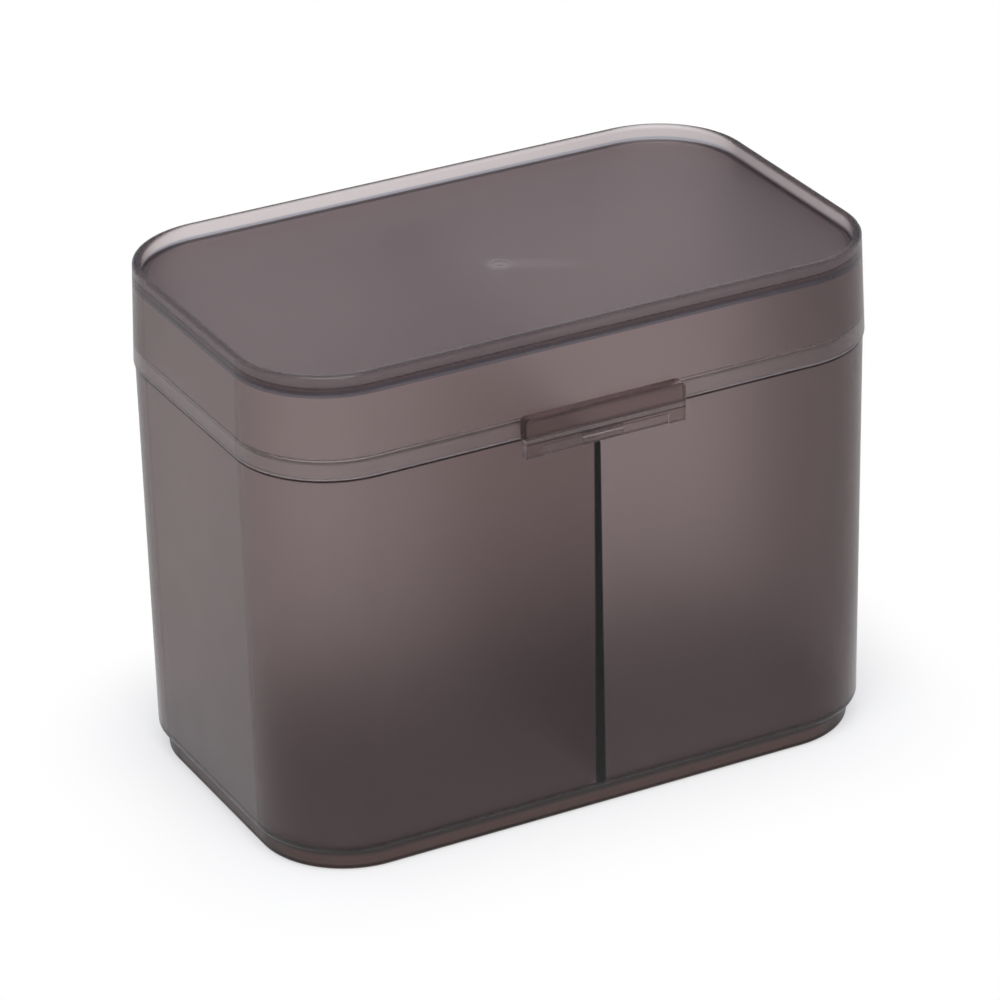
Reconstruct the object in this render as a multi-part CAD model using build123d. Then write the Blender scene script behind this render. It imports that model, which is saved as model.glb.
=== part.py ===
from build123d import *
from math import acos, cos, degrees, radians, sin
import os

# Flip-lid organizer for cotton swabs and cotton pads, moulded in smoky frosted plastic.
# The tub stands on the table with its latch towards -Y; its long side runs along X.
# The origin is the middle of the foot, on the table. All sizes are in millimetres.

# Outline of the lid's rim. Every other outline is this one, grown or shrunk
rim_length = 140.0
rim_width = 84.4
rim_radius = 20.2

# Heights above the table
overall_height = 111.7
tub_height = 89.2

# Tub. Its floor is dropped a little way into the foot
tub_wall = 2.0
tub_taper = 0.6
tub_edge_radius = 1.6
floor_thickness = 1.7
floor_drop = 1.2
floor_fillet = 1.0
foot_height = 4.6
foot_wall = 3.0
foot_radius = 19.4
foot_edge_radius = 0.8

# Divider across the tub, thicker at the floor so that it leaves the mould
divider_drop = 5.1
divider_top_thickness = 1.5
divider_foot_thickness = 2.4
divider_edge_radius = 0.4

# Lid
lid_wall = 2.0
rim_wall = 1.75
lid_flare = 0.8
lid_overhang = 0.35
parting_gap = 0.4
recess_depth = 3.1
panel_thickness = 1.5
panel_fillet = 0.4
ceiling_fillet = 0.5
rim_edge_radius = 0.8
lip_edge_radius = 0.3
gate_radius = 1.7
gate_depth = 0.12
gate_stub_radius = 0.6
gate_off_x = 1.3
gate_off_y = 3.3

# Seat: a thin upstand on the tub that stands inside the lid's lip
lip_wall = 1.0
lip_height = 4.0
seat_height = 3.6
seat_clearance = 0.35
seat_chamfer = 0.3

# Foot of one organizer inside the rim of the next
stacking_clearance = 0.2

# Latch: a tab on the lid with a hook behind it, and a catch rib on the tub
tab_width = 36.4
tab_rise = 4.9
tab_drop = 3.2
tab_stand_off = 2.5
tab_corner_radius = 1.2
tab_edge_radius = 0.35
thumb_recess_width = 28.4
thumb_recess_height = 2.4
thumb_recess_depth = 0.6
catch_width = 9.0
catch_stand_off = 0.6
catch_height = 1.0
catch_chamfer = 0.4
hook_height = 0.9
latch_clearance = 0.3

# Hinge: in the middle of the back, a knuckle on the lid between two ears on the tub
pin_radius = 0.8
pin_clearance = 0.05
pin_chamfer = 0.2
knuckle_radius = 1.7
knuckle_width = 9.0
ear_width = 2.8
ear_drop = 4.8
hinge_side_gap = 0.35
hinge_clearance = 0.35
arm_rise = 3.5
arm_top_thickness = 0.6
lid_open_angle = 105.0
stop_reach = 2.4
stop_tip_radius = 0.5
stop_gap = 0.15

# Heights and places that follow from the sizes above
floor_top = foot_height + floor_thickness - floor_drop
floor_underside = floor_top - floor_thickness
divider_height = tub_height - divider_drop
lid_bottom = tub_height + parting_gap
lip_top = lid_bottom + lip_height
seat_top = tub_height + seat_height
panel_top = overall_height - recess_depth
panel_underside = panel_top - panel_thickness
tub_top_grow = lid_flare - lid_overhang
wall_bite = 0.5 * lip_wall
tub_front = rim_width / 2 + tub_top_grow
tab_front = rim_width / 2 + lid_flare + tab_stand_off
tab_back = tub_front + catch_stand_off + latch_clearance
tab_bottom = tub_height - tab_drop
hook_tip = tub_front + latch_clearance
catch_bottom = tab_bottom + hook_height + latch_clearance
axis_y = tub_front + hinge_clearance + knuckle_radius
axis_z = tub_height - hinge_clearance - knuckle_radius
hinge_width = knuckle_width + 2 * (hinge_side_gap + ear_width)


def lid_grow(height):
    """How far the lid's outer face stands outside the rim's outline at this height."""
    return lid_flare * (overall_height - height) / (overall_height - lid_bottom)


def tub_grow(height):
    """How far the tub's outer face stands outside the rim's outline at this height."""
    return tub_top_grow - tub_taper * (tub_height - height) / (tub_height - foot_height)


def rounded_outline(grow, radius, height):
    """The rim's rectangle, grown by this much all round, with corners of this radius."""
    shape = RectangleRounded(rim_length + 2 * grow, rim_width + 2 * grow, radius)
    return Plane.XY.offset(height) * shape


def outline(grow, height):
    """The rim's outline, grown by this much all round, at this height."""
    return rounded_outline(grow, rim_radius + grow, height)


def block(grow, inset, bottom, top):
    """A solid whose sides follow a wall's taper, this far inside the wall's outer face."""
    low = outline(grow(bottom) - inset, bottom)
    high = outline(grow(top) - inset, top)
    return loft([low, high], ruled=True)


def lowest_edges(shape):
    """The edges round a solid's underside."""
    return shape.edges().group_by(Axis.Z)[0]


def highest_edges(shape):
    """The edges round a solid's top."""
    return shape.edges().group_by(Axis.Z)[-1]


def box_between(x_low, x_high, y_low, y_high, z_low, z_high):
    """A plain box given by its limits."""
    size = Box(x_high - x_low, y_high - y_low, z_high - z_low)
    return Pos((x_low + x_high) / 2, (y_low + y_high) / 2, (z_low + z_high) / 2) * size


def side_profile(sketch, middle_x, width):
    """A profile drawn in the YZ plane, extruded evenly to both sides of middle_x."""
    plane = Plane(origin=(middle_x, 0, 0), x_dir=(0, 1, 0), z_dir=(1, 0, 0))
    return extrude(plane * sketch, width / 2, both=True)


def along_hinge(solid):
    """A solid made along Z, laid along the hinge axis."""
    return Pos(0, axis_y, axis_z) * Rot(0, 90, 0) * solid


def hinge_hole(radius):
    """A cylinder along the hinge axis, a little longer than the hinge is wide."""
    return along_hinge(Cylinder(radius, hinge_width + 2))


def cavity(top):
    """The space inside the tub, from its floor up to this height."""
    space = block(tub_grow, tub_wall, floor_top, top)
    return fillet(lowest_edges(space), floor_fillet)


def foot_ring():
    """The foot with the tub's floor across it. It fits inside the rim of a lid below."""
    grow = lid_grow(panel_top) - rim_wall - stacking_clearance
    outer = extrude(rounded_outline(grow, foot_radius, 0), foot_height)
    outer = fillet(lowest_edges(outer), foot_edge_radius)
    hollow = rounded_outline(grow - foot_wall, foot_radius - foot_wall, 0)
    return outer - extrude(hollow, floor_underside)


def seat():
    """The upstand round the tub's mouth, which stands inside the lid's lip."""
    ring = block(lid_grow, lip_wall + seat_clearance, tub_height, seat_top)
    return chamfer(highest_edges(ring), seat_chamfer)


def catch_rib():
    """The rib on the tub's front that the lid's hook snaps under."""
    top = catch_bottom + catch_height
    half = catch_width / 2
    rib = box_between(-half, half, -tub_front - catch_stand_off, -tub_front + wall_bite, catch_bottom, top)
    outer_top = rib.edges().filter_by(Axis.X).group_by(Axis.Y)[0].sort_by(Axis.Z)[-1]
    return chamfer(outer_top, catch_chamfer)


def ear(middle_x):
    """One ear on the tub's back, a bracket that holds an end of the hinge pin."""
    wall_y = tub_front - wall_bite
    wall_line = Line((wall_y, axis_z - ear_drop), (wall_y, axis_z + knuckle_radius))
    eye = CenterArc((axis_y, axis_z), knuckle_radius, 0, 360)
    return side_profile(make_hull([wall_line, eye]), middle_x, ear_width)


def tub():
    """The body that holds the swabs, with its foot, seat, catch rib and hinge ears."""
    shell = block(tub_grow, 0, foot_height, tub_height)
    shell = fillet(lowest_edges(shell), tub_edge_radius)
    shell += foot_ring()
    shell += seat()
    shell += catch_rib()
    ear_x = (hinge_width - ear_width) / 2
    shell += ear(-ear_x) + ear(ear_x)
    return shell - hinge_hole(pin_radius) - cavity(seat_top)


def divider():
    """The wall across the middle of the tub, touching its floor, front and back."""
    foot = Plane.XY.offset(floor_top) * Rectangle(divider_foot_thickness, rim_width + 2 * tub_wall)
    top = Plane.XY.offset(divider_height) * Rectangle(divider_top_thickness, rim_width + 2 * tub_wall)
    wall = loft([foot, top], ruled=True) & cavity(seat_top)
    top_edges = wall.edges().group_by(Axis.Z)[-1].filter_by(Axis.Y)
    return fillet(top_edges, divider_edge_radius)


def lid_shell():
    """The lid without its tab and hinge: a skirt, a sunk panel and a lip that clears the seat."""
    recess = block(lid_grow, rim_wall, panel_top, overall_height)
    recess = fillet(lowest_edges(recess), panel_fillet)
    shell = block(lid_grow, 0, lid_bottom, overall_height) - recess
    shell = fillet(highest_edges(shell), rim_edge_radius)
    shell = fillet(lowest_edges(shell), lip_edge_radius)
    hollow = block(lid_grow, lid_wall, lid_bottom, panel_underside)
    hollow = fillet(highest_edges(hollow), ceiling_fillet)
    return shell - hollow - block(lid_grow, lip_wall, lid_bottom, lip_top)


def gate_mark():
    """The shallow ring that the mould's gate leaves near the middle of the panel."""
    dimple = Cylinder(gate_radius, 2 * gate_depth) - Cylinder(gate_stub_radius, 2 * gate_depth)
    return Pos(-gate_off_x, -gate_off_y, panel_top) * dimple


def tab():
    """The latch tab: a plate on the lid's front with a thumb recess and a hook behind."""
    half = tab_width / 2
    top = lid_bottom + tab_rise
    plate = box_between(-half, half, -tab_front, -tab_back, tab_bottom, top)
    plate += box_between(-half, half, -tab_back, -rim_width / 2 - lid_grow(top) + wall_bite, lid_bottom, top)
    top_corners = plate.edges().filter_by(Axis.Y).group_by(Axis.Z)[-1]
    plate = fillet(top_corners, tab_corner_radius)
    plate = fillet(plate.faces().sort_by(Axis.Y)[0].edges(), tab_edge_radius)
    half = thumb_recess_width / 2
    thumb_top = tab_bottom + thumb_recess_height
    plate -= box_between(-half, half, -tab_front, -tab_front + thumb_recess_depth, tab_bottom, thumb_top)
    half = catch_width / 2
    hook = box_between(-half, half, -tab_back, -hook_tip, tab_bottom, tab_bottom + hook_height)
    lead_in = hook.edges().filter_by(Axis.X).group_by(Axis.Y)[-1].sort_by(Axis.Z)[0]
    return plate + chamfer(lead_in, catch_chamfer)


def knuckle():
    """The hinge knuckle with its arm up to the lid's back and the heel that stops the lid."""
    wall_distance = hinge_clearance + knuckle_radius
    contact = degrees(acos((wall_distance - stop_gap - stop_tip_radius) / stop_reach))
    heel_angle = radians(lid_open_angle - 180 + contact)
    heel = (axis_y + stop_reach * cos(heel_angle), axis_z + stop_reach * sin(heel_angle))
    eye = make_hull([
        CenterArc((axis_y, axis_z), knuckle_radius, 0, 360),
        CenterArc(heel, stop_tip_radius, 0, 360),
    ])
    wall_y = rim_width / 2 + lid_grow(lip_top) - wall_bite
    arm_top = lid_bottom + arm_rise
    arm_top_y = rim_width / 2 + lid_grow(arm_top) + arm_top_thickness
    arm = make_face(Polyline(
        (axis_y - knuckle_radius, axis_z),
        (axis_y - knuckle_radius, lid_bottom),
        (wall_y, lid_bottom),
        (wall_y, arm_top),
        (arm_top_y, arm_top),
        (axis_y + knuckle_radius, axis_z),
        close=True,
    ))
    return side_profile(eye + arm, 0, knuckle_width)


def lid():
    """The hinged lid with its latch tab and hinge knuckle."""
    return lid_shell() - gate_mark() + tab() + knuckle() - hinge_hole(pin_radius + pin_clearance)


def hinge_pin():
    """A plain steel pin, pressed through both ears with its ends flush."""
    pin = Cylinder(pin_radius, hinge_width)
    return along_hinge(chamfer(pin.edges(), pin_chamfer))


def main():
    os.makedirs("parts", exist_ok=True)
    export_step(tub(), "parts/tub.step")
    export_step(divider(), "parts/divider.step")
    export_step(lid(), "parts/lid.step")
    export_step(hinge_pin(), "parts/hinge_pin.step")


main()
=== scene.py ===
from math import radians

import bpy
from mathutils import Matrix, Vector


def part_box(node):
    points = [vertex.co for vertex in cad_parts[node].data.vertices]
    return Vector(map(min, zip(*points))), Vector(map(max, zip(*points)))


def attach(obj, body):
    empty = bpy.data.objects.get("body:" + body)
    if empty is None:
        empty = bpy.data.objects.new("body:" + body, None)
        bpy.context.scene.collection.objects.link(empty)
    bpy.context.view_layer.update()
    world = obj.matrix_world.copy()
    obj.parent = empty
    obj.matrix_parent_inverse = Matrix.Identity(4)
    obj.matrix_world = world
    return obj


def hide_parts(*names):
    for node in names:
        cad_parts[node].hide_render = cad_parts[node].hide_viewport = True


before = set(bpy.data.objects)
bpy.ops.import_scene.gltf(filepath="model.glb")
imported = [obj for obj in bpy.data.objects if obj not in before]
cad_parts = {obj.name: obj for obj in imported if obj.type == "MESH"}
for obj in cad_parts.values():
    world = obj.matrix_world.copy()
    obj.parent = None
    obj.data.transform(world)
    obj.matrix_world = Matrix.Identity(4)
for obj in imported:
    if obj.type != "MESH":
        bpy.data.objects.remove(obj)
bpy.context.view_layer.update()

# A flip-lid organizer for cotton swabs, moulded in smoky frosted polypropylene.
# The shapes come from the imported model. This script gives them their plastic and steel,
# a floor, light and a camera. Lengths are in metres, with mm for the small ones.

mm = 0.001

# Camera, solved from the outlines of the rim, the parting line and the foot
camera_azimuth = 27.37
camera_elevation = 26.494
camera_roll = -1.361
camera_distance = 1082.4 * mm
camera_aim = (-0.63 * mm, 0.46 * mm, 53.06 * mm)
sensor_width_mm = 36.0
focal_length_mm = 186.26

# Outline of the box. A reach is how far out a point is, measured so that the rim's rounded
# outline lies at the corner radius
box_length = 140.0 * mm
box_width = 84.4 * mm
corner_radius = 20.2 * mm
wall_reach_low = 19.0 * mm
wall_reach_full = 19.3 * mm
foot_reach = 17.0 * mm

# Heights on the box, and half the divider's thickness at its foot and top. The heights
# inside the panel and the floor part their upper faces from their lower ones
panel_top = 108.6 * mm
inside_panel = 107.7 * mm
floor_top = 5.1 * mm
inside_floor = 4.25 * mm
divider_height = 84.1 * mm
divider_foot_half = 1.2 * mm
divider_top_half = 0.75 * mm

# Heights of the bands of painted shade, and of the lid's lower edge with its painted highlight, and
# how gradually one look meets the next
rim_band_low = 107.1 * mm
rim_band_high = 108.7 * mm
lip_low = 89.55 * mm
lip_high = 90.2 * mm
seam_low = 88.95 * mm
seam_high = 89.45 * mm
step_high = 5.6 * mm
step_full = 5.1 * mm
foot_high = 3.6 * mm
foot_full = 3.0 * mm
blend = 0.2 * mm

# Skin of the plastic: roughness, and the sizes of its clouds and of its grain
outer_rough = 0.22
outer_rough_most = 0.28
recess_rough = 0.45
inner_rough = 0.6
cloud_size = 9 * mm
divider_rough = 0.06
divider_rough_most = 0.11
divider_cloud_size = 2 * mm
grain_size = 0.6 * mm
grain_depth = 0.02 * mm
grain_strength = 0.03

# Tints of the skin, which colour what shines through it. The inner tint is light lost in the
# frosted inner skin. The seam, rim, step and foot tints are painted shade: in the parting line,
# cool along the panel's edge, in the step above the foot, and on the foot for the shadow under the
# box
skin_colour = "#ffffff"
inner_tint = "#d0caca"
seam_painted_shade = "#484040"
rim_painted_shade = "#94a4b6"
step_painted_shade = "#302c2c"
foot_painted_shade = "#6e544a"

# Inside of the plastic: its dye, how much of it there is, and how it bends light
smoke_colour = "#a67c7b"
smoke_per_metre = 274.0
divider_smoke = 335.0
plastic_ior = 1.40

# Pale blush where the plastic entered the mould, with a faint tail along its flow, and a painted
# highlight on the lid's lower edge. The blush is even up to the core, a share of its radius
gate_x = -1.3 * mm
gate_y = -3.3 * mm
gate_turn = 27.4
gate_blush = 0.06
blush_radius = 4 * mm
blush_core = 0.3
tail_blush = 0.018
tail_off = 7.2 * mm
tail_length = 12 * mm
tail_half = 4 * mm
lip_painted_highlight = 0.06

# Steel wire of the hinge pin, with fine lines along it
steel_colour = "#a9aaab"
steel_rough = 0.22
steel_rough_most = 0.4
steel_line = 0.08 * mm
steel_stretch = 0.05

# Floor. For what is seen of it straight, mirrored in the plastic or through it: how much of
# it is an even white away from the box and under it, and how far out the shadow reaches
floor_half = 3.0
floor_gap = 0.05 * mm
floor_colour = "#e4e4e4"
shadow_inside = 3 * mm
seen_lift = 1.0
seen_under = 0.5
seen_shadow = 32 * mm
mirrored_lift = 0.85
mirrored_under = 0.0
mirrored_shadow = 15 * mm
through_lift = 0.8
through_under = 0.22
through_shadow = 55 * mm

# Strength of that white where it is mirrored, from near to far, and where it is seen
# through the plastic on the far right
mirrored_near = 1.0
mirrored_far = 0.64
mirrored_fade = 50 * mm
right_start = 130 * mm
right_end = 175 * mm
right_floor = 0.74

# Light of the studio. The walls give way to the ceiling between two rises of a direction,
# which is 0 at the horizon and 1 straight up
world_colour = "#f1f4ff"
wall_light = 1.0
wall_rise = 0.0
ceiling_light = 0.62
ceiling_rise = 0.35
key_power = 14.0
key_size = 1.0
key_place = (-0.32, -0.62, 0.98)

# Hair's breadth between pieces that touch in the model, so that light leaves one piece of
# clear plastic before it enters the next
hair = 0.03 * mm


def linear(hex_colour):
    """An sRGB hex colour as linear red, green, blue and alpha."""
    channels = [int(hex_colour[i:i + 2], 16) / 255 for i in (1, 3, 5)]
    return [c / 12.92 if c <= 0.04045 else ((c + 0.055) / 1.055) ** 2.4 for c in channels] + [1.0]


def add(tree, kind, settings=None, **links):
    """Adds a node to a tree. Settings go to its properties or inputs, links to its inputs."""
    node = tree.nodes.new(kind)
    for name, value in (settings or {}).items():
        if name in node.inputs:
            node.inputs[name].default_value = value
        else:
            setattr(node, name, value)
    for name, source in links.items():
        tree.links.new(source, node.inputs[name.replace("_", " ")])
    return node


def new_material(name):
    """An empty material and its node tree."""
    material = bpy.data.materials.new(name)
    material.use_nodes = True
    material.node_tree.nodes.clear()
    return material, material.node_tree


def greatest(tree, values):
    """The greatest of several values."""
    most = values[0]
    for value in values[1:]:
        pair = add(tree, "ShaderNodeMath", {"operation": "MAXIMUM"})
        tree.links.new(most, pair.inputs[0])
        tree.links.new(value, pair.inputs[1])
        most = pair.outputs["Value"]
    return most


def outline_reach(tree, place):
    """How far out a point is, from the middles of the corners. Its height doesn't count: the
    metre taken off it is more than the box is high."""
    flat = add(tree, "ShaderNodeVectorMath", {"operation": "ABSOLUTE"})
    tree.links.new(place.outputs["Object"], flat.inputs[0])
    corner = add(tree, "ShaderNodeVectorMath", {"operation": "SUBTRACT"})
    tree.links.new(flat.outputs["Vector"], corner.inputs[0])
    corner_x = box_length / 2 - corner_radius
    corner_y = box_width / 2 - corner_radius
    corner.inputs[1].default_value = (corner_x, corner_y, 1.0)
    past = add(tree, "ShaderNodeVectorMath", {"operation": "MAXIMUM"})
    tree.links.new(corner.outputs["Vector"], past.inputs[0])
    past.inputs[1].default_value = (0.0, 0.0, 0.0)
    reach = add(tree, "ShaderNodeVectorMath", {"operation": "LENGTH"})
    tree.links.new(past.outputs["Vector"], reach.inputs[0])
    return reach.outputs["Value"]


def height_step(tree, parts, start, end):
    """Rises from zero to one as the height goes from start to end."""
    step = add(
        tree, "ShaderNodeMapRange",
        {"From Min": start, "From Max": end},
        Value=parts.outputs["Z"],
    )
    return step.outputs["Result"]


def outer_wall(tree, reach):
    """One on the outer faces of the walls and zero on what lies further in."""
    wall = add(
        tree, "ShaderNodeMapRange",
        {"From Min": wall_reach_low, "From Max": wall_reach_full},
        Value=reach,
    )
    return wall.outputs["Result"]


def above_panel(tree, parts):
    """One on the panel's upper face and above, and zero on its underside and below."""
    return height_step(tree, parts, inside_panel - blend, inside_panel + blend)


def outside_skin(tree, parts, reach):
    """One on the outer faces and zero on the inner ones: by how far out a point is, and by
    whether it is above the panel or under the floor."""
    under = height_step(tree, parts, inside_floor + blend, inside_floor - blend)
    return greatest(tree, [outer_wall(tree, reach), above_panel(tree, parts), under])


def lid_recess(tree, parts, reach):
    """One on the panel and on the rim's inner side above it, and zero elsewhere."""
    recess = add(tree, "ShaderNodeMath", {"operation": "SUBTRACT", "use_clamp": True})
    tree.links.new(above_panel(tree, parts), recess.inputs[0])
    tree.links.new(outer_wall(tree, reach), recess.inputs[1])
    return recess.outputs["Value"]


def outer_only(tree, reach, share):
    """A share that is kept on the outer faces, those of the foot too, and is zero further in."""
    outer = add(tree, "ShaderNodeMath", {"operation": "GREATER_THAN"})
    tree.links.new(reach, outer.inputs[0])
    outer.inputs[1].default_value = foot_reach
    kept = add(tree, "ShaderNodeMath", {"operation": "MULTIPLY"})
    tree.links.new(share, kept.inputs[0])
    tree.links.new(outer.outputs["Value"], kept.inputs[1])
    return kept.outputs["Value"]


def height_band(tree, parts, low, high):
    """One between two heights and zero elsewhere."""
    band = add(tree, "ShaderNodeMath", {"operation": "MULTIPLY"})
    tree.links.new(height_step(tree, parts, low, low + blend), band.inputs[0])
    tree.links.new(height_step(tree, parts, high, high - blend), band.inputs[1])
    return band.outputs["Value"]


def lid_clearness(tree, place, parts):
    """One over most of the lid, and a little less at the blush round the gate and its tail, and
    along the lower edge, where the pale share is a painted highlight."""
    # Along the lid's lower edge a pale share is a painted highlight
    lip = add(tree, "ShaderNodeMath", {"operation": "MULTIPLY"})
    tree.links.new(height_band(tree, parts, lip_low, lip_high), lip.inputs[0])
    lip.inputs[1].default_value = lip_painted_highlight
    shares = [lip.outputs["Value"]]
    for length, half, off, strength in (
        (blush_radius, blush_radius, 0.0, gate_blush),
        (tail_length, tail_half, tail_off, tail_blush),
    ):
        turned = add(
            tree, "ShaderNodeMapping",
            {"vector_type": "TEXTURE", "Location": (gate_x, gate_y, panel_top)},
            Vector=place.outputs["Object"],
        )
        turned.inputs["Rotation"].default_value = (0.0, 0.0, radians(-gate_turn))
        scaled = add(
            tree, "ShaderNodeMapping",
            {"Location": (-off / length, 0.0, 0.0), "Scale": (1 / length, 1 / half, 1 / half)},
            Vector=turned.outputs["Vector"],
        )
        away = add(tree, "ShaderNodeVectorMath", {"operation": "LENGTH"})
        tree.links.new(scaled.outputs["Vector"], away.inputs[0])
        share = add(
            tree, "ShaderNodeMapRange",
            {"interpolation_type": "SMOOTHSTEP", "From Min": 1.0, "From Max": blush_core},
            Value=away.outputs["Value"],
        )
        share.inputs["To Max"].default_value = strength
        shares.append(share.outputs["Result"])
    clear = add(tree, "ShaderNodeMath", {"operation": "SUBTRACT"})
    clear.inputs[0].default_value = 1.0
    tree.links.new(greatest(tree, shares), clear.inputs[1])
    return clear.outputs["Value"]


def divider_root(tree, parts, outside):
    """One on the strip of the tub's inside that the divider grows out of, and zero elsewhere."""
    half = add(
        tree, "ShaderNodeMapRange",
        {"From Min": floor_top, "From Max": divider_height,
         "To Min": divider_foot_half, "To Max": divider_top_half},
        Value=parts.outputs["Z"],
    )
    side = add(tree, "ShaderNodeMath", {"operation": "ABSOLUTE"})
    tree.links.new(parts.outputs["X"], side.inputs[0])
    beside = add(tree, "ShaderNodeMath", {"operation": "LESS_THAN"})
    tree.links.new(side.outputs["Value"], beside.inputs[0])
    tree.links.new(half.outputs["Result"], beside.inputs[1])
    below = add(tree, "ShaderNodeMath", {"operation": "LESS_THAN"})
    tree.links.new(parts.outputs["Z"], below.inputs[0])
    below.inputs[1].default_value = divider_height
    inside = add(tree, "ShaderNodeMath", {"operation": "LESS_THAN"})
    tree.links.new(outside, inside.inputs[0])
    inside.inputs[1].default_value = 0.5
    strip = add(tree, "ShaderNodeMath", {"operation": "MULTIPLY"})
    tree.links.new(beside.outputs["Value"], strip.inputs[0])
    tree.links.new(below.outputs["Value"], strip.inputs[1])
    root = add(tree, "ShaderNodeMath", {"operation": "MULTIPLY"})
    tree.links.new(strip.outputs["Value"], root.inputs[0])
    tree.links.new(inside.outputs["Value"], root.inputs[1])
    return root.outputs["Value"]


def skin_roughness(tree, place, parts, reach, outside):
    """The skin's roughness: least on the outer faces, where it varies in soft clouds, more in
    the lid's recess and most on the inner faces."""
    cloud = add(
        tree, "ShaderNodeTexNoise",
        {"Scale": 1 / cloud_size, "Detail": 3.0},
        Vector=place.outputs["Object"],
    )
    outer = add(
        tree, "ShaderNodeMapRange",
        {"To Min": outer_rough, "To Max": outer_rough_most},
        Value=cloud.outputs["Fac"],
    )
    inner = add(tree, "ShaderNodeMapRange", {"To Min": inner_rough}, Value=outside)
    tree.links.new(outer.outputs["Result"], inner.inputs["To Max"])
    recess = lid_recess(tree, parts, reach)
    rough = add(tree, "ShaderNodeMapRange", {"To Max": recess_rough}, Value=recess)
    tree.links.new(inner.outputs["Result"], rough.inputs["To Min"])
    return rough.outputs["Result"]


def skin_tint(tree, parts, reach, outside):
    """The skin's tint, which colours what shines through it. It is white on the outer faces, apart
    from painted shade at the parting line, along the edge of the panel, and on the foot and the
    step above it.
    Inputs 6 and 7 and output 2 of a mixing node are its colours."""
    colour = add(tree, "ShaderNodeMix", {"data_type": "RGBA"})
    tree.links.new(outside, colour.inputs["Factor"])
    colour.inputs[6].default_value = linear(inner_tint)
    colour.inputs[7].default_value = linear(skin_colour)
    # Painted shade in the gap of the parting line, on the tub's top edge and the lid's lower edge
    seam = height_band(tree, parts, seam_low, seam_high)
    # Cool painted shade on the rim's wall along the edge of the panel
    rim = height_band(tree, parts, rim_band_low, rim_band_high)
    # Painted shade in the step above the foot, under the body's overhang
    step = height_step(tree, parts, step_high, step_full)
    # Painted shade on the foot, for the shadow under the box
    foot = height_step(tree, parts, foot_high, foot_full)
    for share, tint in (
        (seam, seam_painted_shade),
        (outer_only(tree, reach, rim), rim_painted_shade),
        (outer_only(tree, reach, step), step_painted_shade),
        (outer_only(tree, reach, foot), foot_painted_shade),
    ):
        tinted = add(tree, "ShaderNodeMix", {"data_type": "RGBA"})
        tree.links.new(share, tinted.inputs["Factor"])
        tree.links.new(colour.outputs[2], tinted.inputs[6])
        tinted.inputs[7].default_value = linear(tint)
        colour = tinted
    return colour.outputs[2]


def frosted_polypropylene(name, has_divider):
    """Injection moulded polypropylene with a spark-eroded, frosted skin and a smoky grey-brown
    dye. The skin scatters what shines through, and thick places look darker than thin ones.
    Where the divider grows out of the tub, it has no skin."""
    material, tree = new_material(name)
    place = add(tree, "ShaderNodeTexCoord")
    parts = add(tree, "ShaderNodeSeparateXYZ", None, Vector=place.outputs["Object"])
    reach = outline_reach(tree, place)
    outside = outside_skin(tree, parts, reach)
    grain = add(
        tree, "ShaderNodeTexNoise",
        {"Scale": 1 / grain_size, "Detail": 1.0},
        Vector=place.outputs["Object"],
    )
    bump = add(
        tree, "ShaderNodeBump",
        {"Strength": grain_strength, "Distance": grain_depth},
        Height=grain.outputs["Fac"],
    )
    skin = add(
        tree, "ShaderNodeBsdfPrincipled",
        {"IOR": plastic_ior, "Transmission Weight": 1.0},
        Base_Color=skin_tint(tree, parts, reach, outside),
        Roughness=skin_roughness(tree, place, parts, reach, outside),
        Normal=bump.outputs["Normal"],
    )
    if has_divider:
        cover = add(tree, "ShaderNodeMath", {"operation": "SUBTRACT"})
        cover.inputs[0].default_value = 1.0
        tree.links.new(divider_root(tree, parts, outside), cover.inputs[1])
        tree.links.new(cover.outputs["Value"], skin.inputs["Alpha"])
    else:
        tree.links.new(lid_clearness(tree, place, parts), skin.inputs["Transmission Weight"])
    smoke = add(
        tree, "ShaderNodeVolumeAbsorption",
        {"Color": linear(smoke_colour), "Density": smoke_per_metre},
    )
    add(
        tree, "ShaderNodeOutputMaterial", None,
        Surface=skin.outputs["BSDF"], Volume=smoke.outputs["Volume"],
    )
    return material


def polished_polypropylene():
    """The same smoky polypropylene off a polished core. The divider's smooth sides keep the
    light inside, as in a pane of glass, so that seen from its edge it is a dark line. Its ends
    and underside have no skin, because there it is one with the tub."""
    material, tree = new_material("polished_polypropylene_divider")
    place = add(tree, "ShaderNodeTexCoord")
    cloud = add(
        tree, "ShaderNodeTexNoise",
        {"Scale": 1 / divider_cloud_size, "Detail": 3.0},
        Vector=place.outputs["Object"],
    )
    rough = add(
        tree, "ShaderNodeMapRange",
        {"To Min": divider_rough, "To Max": divider_rough_most},
        Value=cloud.outputs["Fac"],
    )
    facing = add(tree, "ShaderNodeSeparateXYZ", None, Vector=place.outputs["Normal"])
    side = add(tree, "ShaderNodeMath", {"operation": "ABSOLUTE"})
    tree.links.new(facing.outputs["X"], side.inputs[0])
    free = add(tree, "ShaderNodeMath", {"operation": "GREATER_THAN"})
    tree.links.new(greatest(tree, [side.outputs["Value"], facing.outputs["Z"]]), free.inputs[0])
    free.inputs[1].default_value = 0.5
    skin = add(
        tree, "ShaderNodeBsdfPrincipled",
        {"Base Color": linear(skin_colour), "IOR": plastic_ior, "Transmission Weight": 1.0},
        Roughness=rough.outputs["Result"], Alpha=free.outputs["Value"],
    )
    smoke = add(
        tree, "ShaderNodeVolumeAbsorption",
        {"Color": linear(smoke_colour), "Density": divider_smoke},
    )
    add(
        tree, "ShaderNodeOutputMaterial", None,
        Surface=skin.outputs["BSDF"], Volume=smoke.outputs["Volume"],
    )
    return material


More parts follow.
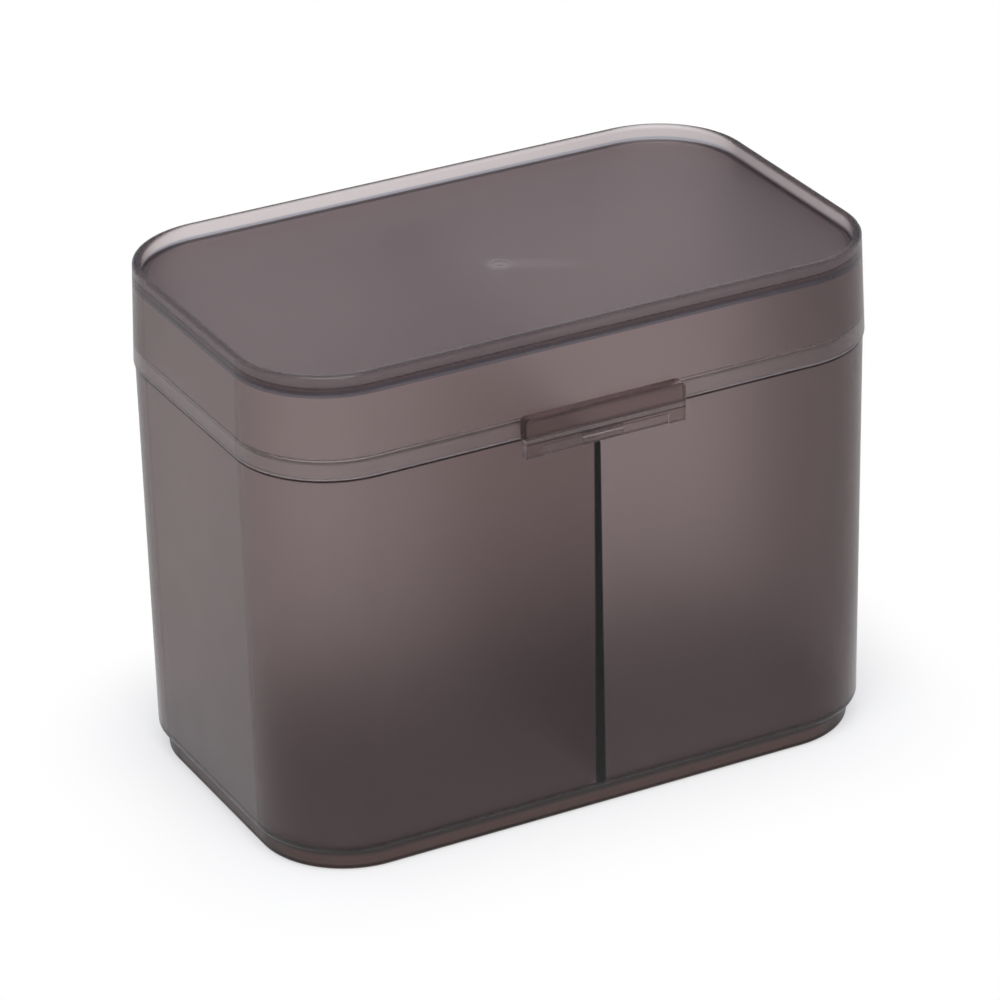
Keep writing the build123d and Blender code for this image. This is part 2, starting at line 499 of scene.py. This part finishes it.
def drawn_steel():
    """Steel wire drawn through a die: grey, fairly glossy, with fine lines along its length."""
    material, tree = new_material("drawn_steel_wire")
    place = add(tree, "ShaderNodeTexCoord")
    stretch = add(
        tree, "ShaderNodeMapping",
        {"Scale": (steel_stretch, 1.0, 1.0)},
        Vector=place.outputs["Object"],
    )
    lines = add(
        tree, "ShaderNodeTexNoise",
        {"Scale": 1 / steel_line},
        Vector=stretch.outputs["Vector"],
    )
    rough = add(
        tree, "ShaderNodeMapRange",
        {"To Min": steel_rough, "To Max": steel_rough_most},
        Value=lines.outputs["Fac"],
    )
    metal = add(
        tree, "ShaderNodeBsdfPrincipled",
        {"Base Color": linear(steel_colour), "Metallic": 1.0},
        Roughness=rough.outputs["Result"],
    )
    add(tree, "ShaderNodeOutputMaterial", None, Surface=metal.outputs["BSDF"])
    return material


def white_floor():
    """A matt white table top. What is seen of it, straight, mirrored or through the plastic,
    is lifted towards white, but less under the box, so that it keeps the shadow. Mirrored it
    is darker far from the box, and through the plastic it is darker on the far right. Light
    through a rough skin counts as glossy too, so it is taken off what counts as mirrored."""
    material, tree = new_material("white_table")
    path = add(tree, "ShaderNodeLightPath")
    place = add(tree, "ShaderNodeTexCoord")
    parts = add(tree, "ShaderNodeSeparateXYZ", None, Vector=place.outputs["Object"])
    reach = outline_reach(tree, place)
    mirrored = add(tree, "ShaderNodeMath", {"operation": "SUBTRACT", "use_clamp": True})
    tree.links.new(path.outputs["Is Glossy Ray"], mirrored.inputs[0])
    tree.links.new(path.outputs["Is Transmission Ray"], mirrored.inputs[1])
    shares = []
    for kind, under, lift, shadow in (
        (path.outputs["Is Camera Ray"], seen_under, seen_lift, seen_shadow),
        (mirrored.outputs["Value"], mirrored_under, mirrored_lift, mirrored_shadow),
        (path.outputs["Is Transmission Ray"], through_under, through_lift, through_shadow),
    ):
        away = add(
            tree, "ShaderNodeMapRange",
            {"interpolation_type": "SMOOTHSTEP", "To Min": under, "To Max": lift},
            Value=reach,
        )
        away.inputs["From Min"].default_value = corner_radius - shadow_inside
        away.inputs["From Max"].default_value = corner_radius + shadow
        share = add(tree, "ShaderNodeMath", {"operation": "MULTIPLY"})
        tree.links.new(kind, share.inputs[0])
        tree.links.new(away.outputs["Result"], share.inputs[1])
        shares.append(share.outputs["Value"])
    side = add(
        tree, "ShaderNodeMapRange",
        {"From Min": right_start, "From Max": right_end, "To Min": 1.0, "To Max": right_floor},
        Value=parts.outputs["X"],
    )
    fade = add(
        tree, "ShaderNodeMapRange",
        {"From Min": corner_radius, "From Max": corner_radius + mirrored_fade,
         "To Min": mirrored_near, "To Max": mirrored_far},
        Value=reach,
    )
    level = add(tree, "ShaderNodeMix", {"data_type": "FLOAT"})
    tree.links.new(mirrored.outputs["Value"], level.inputs["Factor"])
    tree.links.new(side.outputs["Result"], level.inputs[2])
    tree.links.new(fade.outputs["Result"], level.inputs[3])
    strength = greatest(tree, [path.outputs["Is Camera Ray"], level.outputs[0]])
    matt = add(tree, "ShaderNodeBsdfDiffuse", {"Color": linear(floor_colour)})
    glow = add(tree, "ShaderNodeEmission", None, Strength=strength)
    both = add(tree, "ShaderNodeMixShader", None, Fac=greatest(tree, shares))
    tree.links.new(matt.outputs["BSDF"], both.inputs[1])
    tree.links.new(glow.outputs["Emission"], both.inputs[2])
    add(tree, "ShaderNodeOutputMaterial", None, Surface=both.outputs["Shader"])
    return material


def white_world():
    """Soft studio light: white walls all round and a grey ceiling."""
    world = bpy.data.worlds.new("studio")
    world.use_nodes = True
    tree = world.node_tree
    tree.nodes.clear()
    direction = add(tree, "ShaderNodeTexCoord")
    parts = add(tree, "ShaderNodeSeparateXYZ", None, Vector=direction.outputs["Generated"])
    rise = add(
        tree, "ShaderNodeMapRange",
        {"From Min": wall_rise, "From Max": ceiling_rise,
         "To Min": wall_light, "To Max": ceiling_light},
        Value=parts.outputs["Z"],
    )
    light = add(
        tree, "ShaderNodeBackground",
        {"Color": linear(world_colour)},
        Strength=rise.outputs["Result"],
    )
    add(tree, "ShaderNodeOutputWorld", None, Surface=light.outputs["Background"])
    bpy.context.scene.world = world


def dress(node_name, material):
    """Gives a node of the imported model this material."""
    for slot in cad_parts[node_name].material_slots:
        slot.material = material


def drawn_in(node_name, piece_name, body, material):
    """A piece in the place of a node that touches its neighbours, drawn in by a hair all round."""
    low, high = (Vector(corner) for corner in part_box(node_name))
    middle = (low + high) / 2
    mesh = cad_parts[node_name].data.copy()
    for vertex in mesh.vertices:
        for axis in range(3):
            half = (high[axis] - low[axis]) / 2
            vertex.co[axis] = middle[axis] + (vertex.co[axis] - middle[axis]) * (half - hair) / half
    mesh.materials.clear()
    mesh.materials.append(material)
    piece = bpy.data.objects.new(piece_name, mesh)
    bpy.context.scene.collection.objects.link(piece)
    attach(piece, body)
    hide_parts(node_name)
    return piece


def make_floor():
    """The table that the box stands on."""
    mesh = bpy.data.meshes.new("table")
    sides = [(-1, -1), (1, -1), (1, 1), (-1, 1)]
    corners = [(x * floor_half, y * floor_half, -floor_gap) for x, y in sides]
    mesh.from_pydata(corners, [], [(0, 1, 2, 3)])
    mesh.materials.append(white_floor())
    floor = bpy.data.objects.new("table", mesh)
    bpy.context.scene.collection.objects.link(floor)


def make_camera():
    """The camera at the photograph's viewing angle."""
    camera = bpy.data.cameras.new("camera")
    camera.sensor_width = sensor_width_mm
    camera.lens = focal_length_mm
    turn = Matrix.Rotation(radians(-camera_azimuth), 4, "Z")
    tilt = Matrix.Rotation(radians(90 - camera_elevation), 4, "X")
    roll = Matrix.Rotation(radians(camera_roll), 4, "Z")
    back = Matrix.Translation((0, 0, camera_distance))
    obj = bpy.data.objects.new("camera", camera)
    obj.matrix_world = Matrix.Translation(camera_aim) @ turn @ tilt @ roll @ back
    bpy.context.scene.collection.objects.link(obj)
    bpy.context.scene.camera = obj


def make_lamp(name, place, size, power):
    """A soft square lamp that points at the box."""
    lamp = bpy.data.lights.new(name, "AREA")
    lamp.size = size
    lamp.energy = power
    obj = bpy.data.objects.new(name, lamp)
    obj.location = place
    obj.rotation_euler = (Vector(camera_aim) - Vector(place)).to_track_quat("-Z", "Y").to_euler()
    bpy.context.scene.collection.objects.link(obj)


dress("tub", frosted_polypropylene("frosted_polypropylene_tub", True))
dress("lid", frosted_polypropylene("frosted_polypropylene_lid", False))
divider = drawn_in("divider", "divider_wall", "base", polished_polypropylene())
pin = drawn_in("hinge_pin", "hinge_wire", "base", drawn_steel())

make_floor()
white_world()
make_lamp("key_lamp", key_place, key_size, key_power)
make_camera()
bpy.context.scene.view_settings.view_transform = "Standard"
